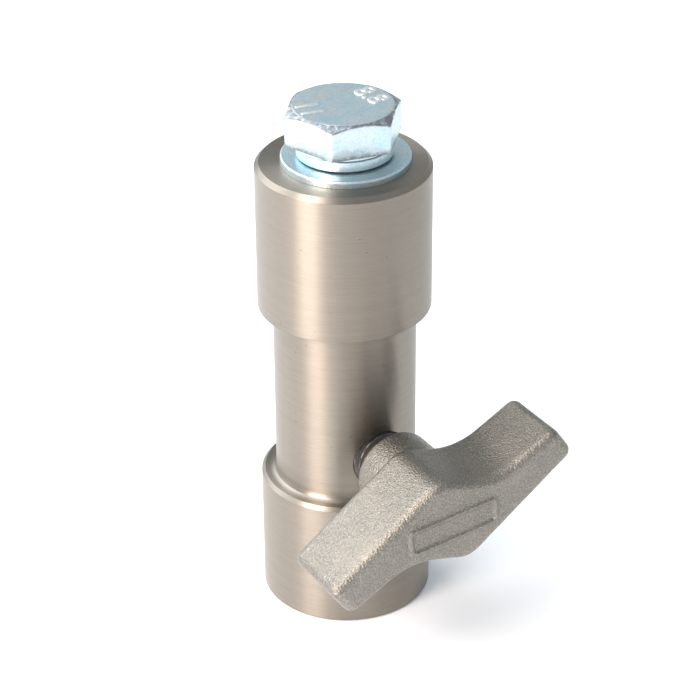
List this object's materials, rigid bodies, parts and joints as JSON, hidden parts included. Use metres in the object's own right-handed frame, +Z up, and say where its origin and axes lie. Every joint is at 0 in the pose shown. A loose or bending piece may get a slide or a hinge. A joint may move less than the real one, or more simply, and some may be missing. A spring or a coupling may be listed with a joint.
{
  "type": "lighting spigot adaptor",
  "caption": "Turned spigot with a stud socket in its foot, a tee-handle clamp screw through its waist and a hex bolt with washers in its top for a lamp's yoke.",
  "frame": {"origin": "centre of the foot, at the mouth of the stud socket", "axes": "+Z up the turned body towards the yoke bolt; -Y out along the clamp screw towards the handle"},
  "size_m": [0.0448, 0.0486, 0.0899],
  "materials": {
    "turned_metal": "nickel plated over fine turning marks",
    "zinc_plate": "bright zinc plate",
    "cast_metal": "fine sand-cast skin, nickel plated",
    "stud_steel": "dark oiled screw thread",
    "pad_brass": "turned brass"
  },
  "bodies": {
    "spigot": {"spigot_body": "turned_metal"},
    "washers": {"plain_washer": "zinc_plate", "spring_washer": "zinc_plate"},
    "bolt": {"yoke_bolt": "zinc_plate"},
    "pad": {"thrust_pad": "pad_brass"},
    "handle": {"clamp_handle": "cast_metal", "clamp_stud": "stud_steel"}
  },
  "joints": [
    {"name": "washer_lift", "type": "slide", "parent": "spigot", "child": "washers", "axis": [0, 0, 1], "range_m": [0, 0.012]},
    {"name": "bolt_turn", "type": "hinge", "parent": "washers", "child": "bolt", "pos_m": [0, 0, 0.08], "axis": [0, 0, 1], "range_deg": [0, 2880]},
    {"name": "pad_travel", "type": "slide", "parent": "spigot", "child": "pad", "axis": [0, -1, 0], "range_m": [-0.0028, 0.0015]},
    {"name": "handle_turn", "type": "hinge", "parent": "pad", "child": "handle", "pos_m": [0, 0, 0.03], "axis": [0, -1, 0], "range_deg": [-672, 360]}
  ],
  "couplings": [
    {"joint": "bolt_turn", "follows": "washer_lift", "rad_per_m": 4188.8},
    {"joint": "handle_turn", "follows": "pad_travel", "rad_per_m": 4188.8}
  ]
}
